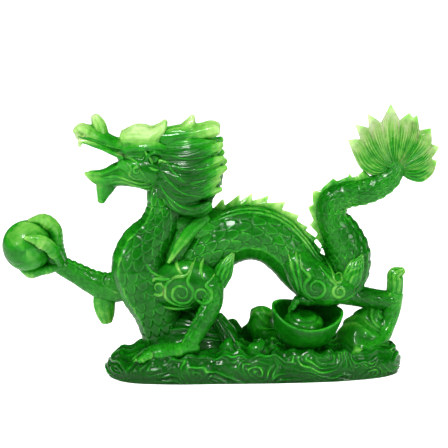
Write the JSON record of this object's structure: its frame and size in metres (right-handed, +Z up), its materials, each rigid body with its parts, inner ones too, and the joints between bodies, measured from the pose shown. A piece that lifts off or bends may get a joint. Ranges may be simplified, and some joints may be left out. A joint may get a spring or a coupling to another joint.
{
  "type": "dragon figurine",
  "caption": "Carved green jade figurine of a dragon with a pearl in its fore claw, standing on a cloud plinth over a boat-shaped ingot.",
  "frame": {"origin": "on the standing surface, in the plinth's flat underside, under the middle of the whole figurine's length", "axes": "+Z up, -X the way the dragon looks, -Y towards its left side, which is the side with the ingot in front of it"},
  "size_m": [0.219, 0.0588, 0.1367],
  "materials": {
    "jade_deep": "polished",
    "jade_mid": "polished",
    "jade_pale": "polished"
  },
  "bodies": {
    "root": {"back_crest": "jade_pale", "base_plinth": "jade_deep", "beard": "jade_mid", "belly_plates": "jade_mid", "body_front": "jade_deep", "body_rear": "jade_deep", "brow_left": "jade_pale", "brow_right": "jade_pale", "chest": "jade_deep", "eye_left": "jade_pale", "eye_right": "jade_pale", "front_mound": "jade_deep", "horn_left": "jade_pale", "horn_right": "jade_pale", "ingot_bowl": "jade_deep", "ingot_dome": "jade_mid", "left_elbow_tuft": "jade_pale", "left_forearm": "jade_mid", "left_forepaw": "jade_mid", "left_hock_tuft": "jade_pale", "left_shank": "jade_mid", "left_shoulder": "jade_mid", "left_thigh": "jade_mid", "lower_jaw": "jade_mid", "mane_back": "jade_deep", "mane_left_1": "jade_mid", "mane_left_2": "jade_mid", "mane_left_3": "jade_mid", "mane_right_1": "jade_mid", "mane_right_2": "jade_mid", "mane_right_3": "jade_mid", "mane_wisp": "jade_pale", "neck": "jade_deep", "nose_curl": "jade_pale", "pearl": "jade_mid", "rear_mound": "jade_deep", "right_elbow_tuft": "jade_pale", "right_forearm": "jade_mid", "right_hock_tuft": "jade_pale", "right_shank": "jade_mid", "right_talon_back": "jade_pale", "right_talon_front": "jade_pale", "right_talon_lower": "jade_pale", "right_talon_upper": "jade_pale", "right_thigh": "jade_mid", "right_upper_arm": "jade_mid", "skull": "jade_mid", "snout": "jade_pale", "tail_crest": "jade_pale", "tail_lower": "jade_deep", "tail_plume_1": "jade_pale", "tail_plume_2": "jade_pale", "tail_plume_3": "jade_pale", "tail_plume_4": "jade_pale", "tail_plume_5": "jade_pale", "tail_plume_6": "jade_pale", "tail_plume_7": "jade_pale", "tail_plume_8": "jade_pale", "tail_upper": "jade_mid", "wave_curl": "jade_mid"}
  },
  "joints": []
}
